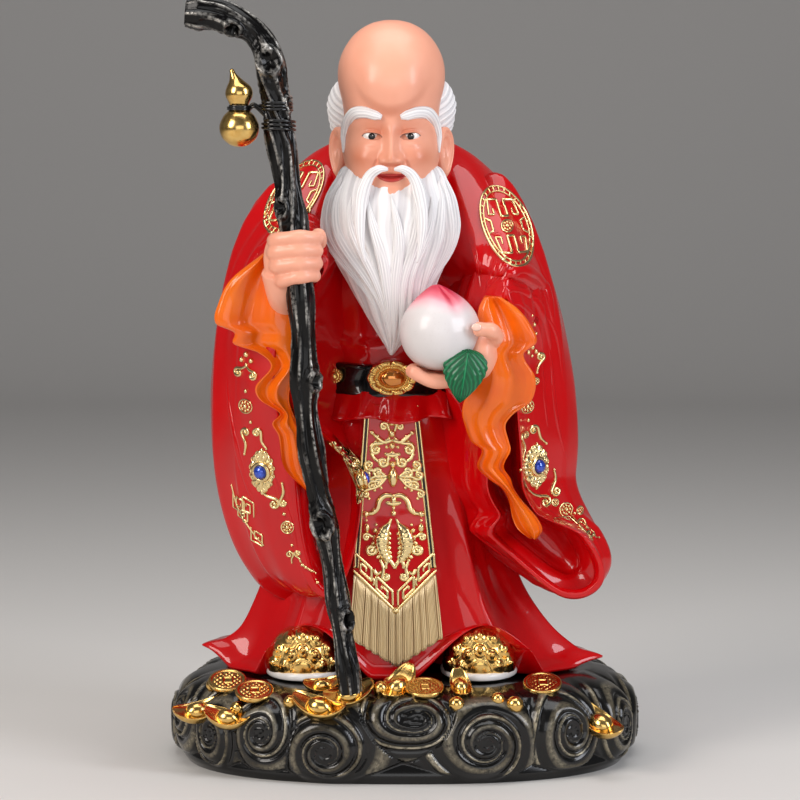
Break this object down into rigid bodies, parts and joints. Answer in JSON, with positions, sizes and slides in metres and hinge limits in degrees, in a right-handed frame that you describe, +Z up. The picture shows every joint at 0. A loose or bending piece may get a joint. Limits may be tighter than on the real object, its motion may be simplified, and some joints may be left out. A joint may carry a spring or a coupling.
{
  "type": "shou lao figure",
  "caption": "Lacquered table statue of a bearded sage with a domed brow, a gnarled staff and a peach, standing on a bank of scrolled clouds.",
  "frame": {"origin": "under the middle of the cloud base, on the surface where it stands", "axes": "+Z up, -Y the way the sage faces, +X towards the sage's left hand, which holds the peach"},
  "size_m": [0.2865, 0.2142, 0.4579],
  "materials": {
    "red_lacquer": "deep glossy red lacquer on resin",
    "orange_lacquer": "satin orange lacquer on resin",
    "gilding": "polished pale gold",
    "cloud_paint": "glossy black, brushed with brass and silver on the raised edges",
    "bark_paint": "black bark, dry-brushed with silver",
    "skin_paint": "satin skin colour",
    "white_hair": "cool white, satin",
    "black_lacquer": "glossy black",
    "sole_paint": "white",
    "peach_paint": "white, blended to crimson at the tip",
    "leaf_paint": "glossy green",
    "amber_boss": "polished amber brown",
    "blue_stone": "clear deep blue, polished"
  },
  "bodies": {
    "root": {"cloud_base": "cloud_paint", "figure": "red_lacquer", "staff": "bark_paint", "gourd": "gilding", "peach": "peach_paint", "gem_right_cuff_outer": "blue_stone", "gem_right_cuff_inner": "blue_stone", "gem_left_cuff_outer": "blue_stone"}
  },
  "joints": []
}
